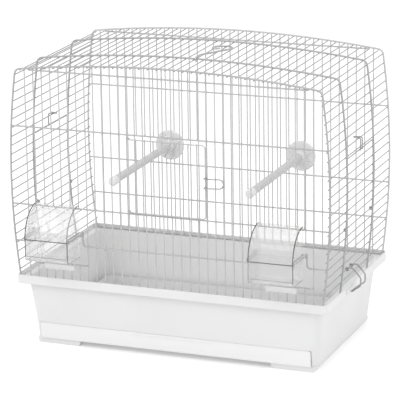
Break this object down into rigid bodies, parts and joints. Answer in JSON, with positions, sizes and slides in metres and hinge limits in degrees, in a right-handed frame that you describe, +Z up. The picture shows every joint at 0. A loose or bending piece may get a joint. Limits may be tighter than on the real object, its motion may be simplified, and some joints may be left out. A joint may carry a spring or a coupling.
{
  "type": "bird cage",
  "caption": "Wire bird cage with bulging sides on a drawer tray base, with a front door, side doors, clear tilting feeders, perches, a hanging hook and side clips.",
  "frame": {"origin": "on the floor, under the middle of the part's bounding box", "axes": "+X to the right along the front, +Y from the front to the back, +Z up"},
  "size_m": [0.4416, 0.2844, 0.3755],
  "materials": {
    "white_wire": "satin white powder coat",
    "door_wire": "satin white powder coat",
    "zinc_wire": "zinc-plated wire",
    "white_plastic": "smooth moulded white",
    "perch_plastic": "fine matt moulded white",
    "clear_plastic": "clear moulded, polished"
  },
  "bodies": {
    "cage": {"tray_tub": "white_plastic", "foot_rails": "white_plastic", "front_hoop": "white_wire", "front_rib_hoop": "white_wire", "rear_rib_hoop": "white_wire", "back_hoop": "white_wire", "front_cross_bars": "white_wire", "back_cross_bars": "white_wire", "feeder_bars": "white_wire", "front_uprights": "white_wire", "back_uprights": "white_wire", "roof_wires": "white_wire", "left_side_wires": "white_wire", "right_side_wires": "white_wire", "feeder_sills": "white_plastic", "right_perch": "perch_plastic", "left_perch": "perch_plastic", "perch_flanges": "white_plastic", "perch_caps": "white_plastic", "perch_screws": "zinc_wire", "perch_washers": "white_plastic"},
    "drawer": {"drawer": "white_plastic"},
    "front_door": {"front_door_frame": "door_wire", "front_door_uprights": "door_wire"},
    "front_latch": {"front_door_latch": "zinc_wire"},
    "right_door": {"right_door_frame": "door_wire", "right_door_wires": "door_wire", "right_door_latch": "zinc_wire"},
    "left_door": {"left_door_frame": "door_wire", "left_door_wires": "door_wire", "left_door_latch": "zinc_wire"},
    "hook": {"hanging_hook": "zinc_wire"},
    "right_clip": {"right_clip": "zinc_wire"},
    "left_clip": {"left_clip": "zinc_wire"},
    "right_feeder": {"right_feeder_cup": "clear_plastic", "right_feeder_hood": "clear_plastic"},
    "left_feeder": {"left_feeder_cup": "clear_plastic", "left_feeder_hood": "clear_plastic"}
  },
  "joints": [
    {"name": "drawer_slide", "type": "slide", "parent": "cage", "child": "drawer", "axis": [0, -1, 0], "range_m": [0, 0.2]},
    {"name": "front_door_hinge", "type": "hinge", "parent": "cage", "child": "front_door", "pos_m": [-0.05143, -0.10128, 0.2345], "axis": [0, 0, -1], "range_deg": [0, 110]},
    {"name": "front_latch_turn", "type": "hinge", "parent": "front_door", "child": "front_latch", "pos_m": [0.05143, -0.10528, 0.2337], "axis": [0, 0, -1], "range_deg": [0, 90]},
    {"name": "right_door_hinge", "type": "hinge", "parent": "cage", "child": "right_door", "pos_m": [0.20673, 0.0177, 0.16964], "axis": [0, 1, 0], "range_deg": [0, 115]},
    {"name": "left_door_hinge", "type": "hinge", "parent": "cage", "child": "left_door", "pos_m": [-0.20673, 0.0177, 0.16964], "axis": [0, -1, 0], "range_deg": [0, 115]},
    {"name": "hook_swing", "type": "hinge", "parent": "cage", "child": "hook", "pos_m": [0.015, -0.0363, 0.37163], "axis": [1, 0, 0], "range_deg": [0, 90]},
    {"name": "right_clip_swing", "type": "hinge", "parent": "cage", "child": "right_clip", "pos_m": [0.20197, -0.0033, 0.1125], "axis": [0, -1, 0], "range_deg": [0, 80]},
    {"name": "left_clip_swing", "type": "hinge", "parent": "cage", "child": "left_clip", "pos_m": [-0.20197, -0.0033, 0.1125], "axis": [0, 1, 0], "range_deg": [0, 80]},
    {"name": "right_feeder_tilt", "type": "hinge", "parent": "cage", "child": "right_feeder", "pos_m": [0.1474, -0.10595, 0.154], "axis": [1, 0, 0], "range_deg": [0, 35]},
    {"name": "left_feeder_tilt", "type": "hinge", "parent": "cage", "child": "left_feeder", "pos_m": [-0.1474, -0.10595, 0.154], "axis": [1, 0, 0], "range_deg": [0, 35]}
  ]
}
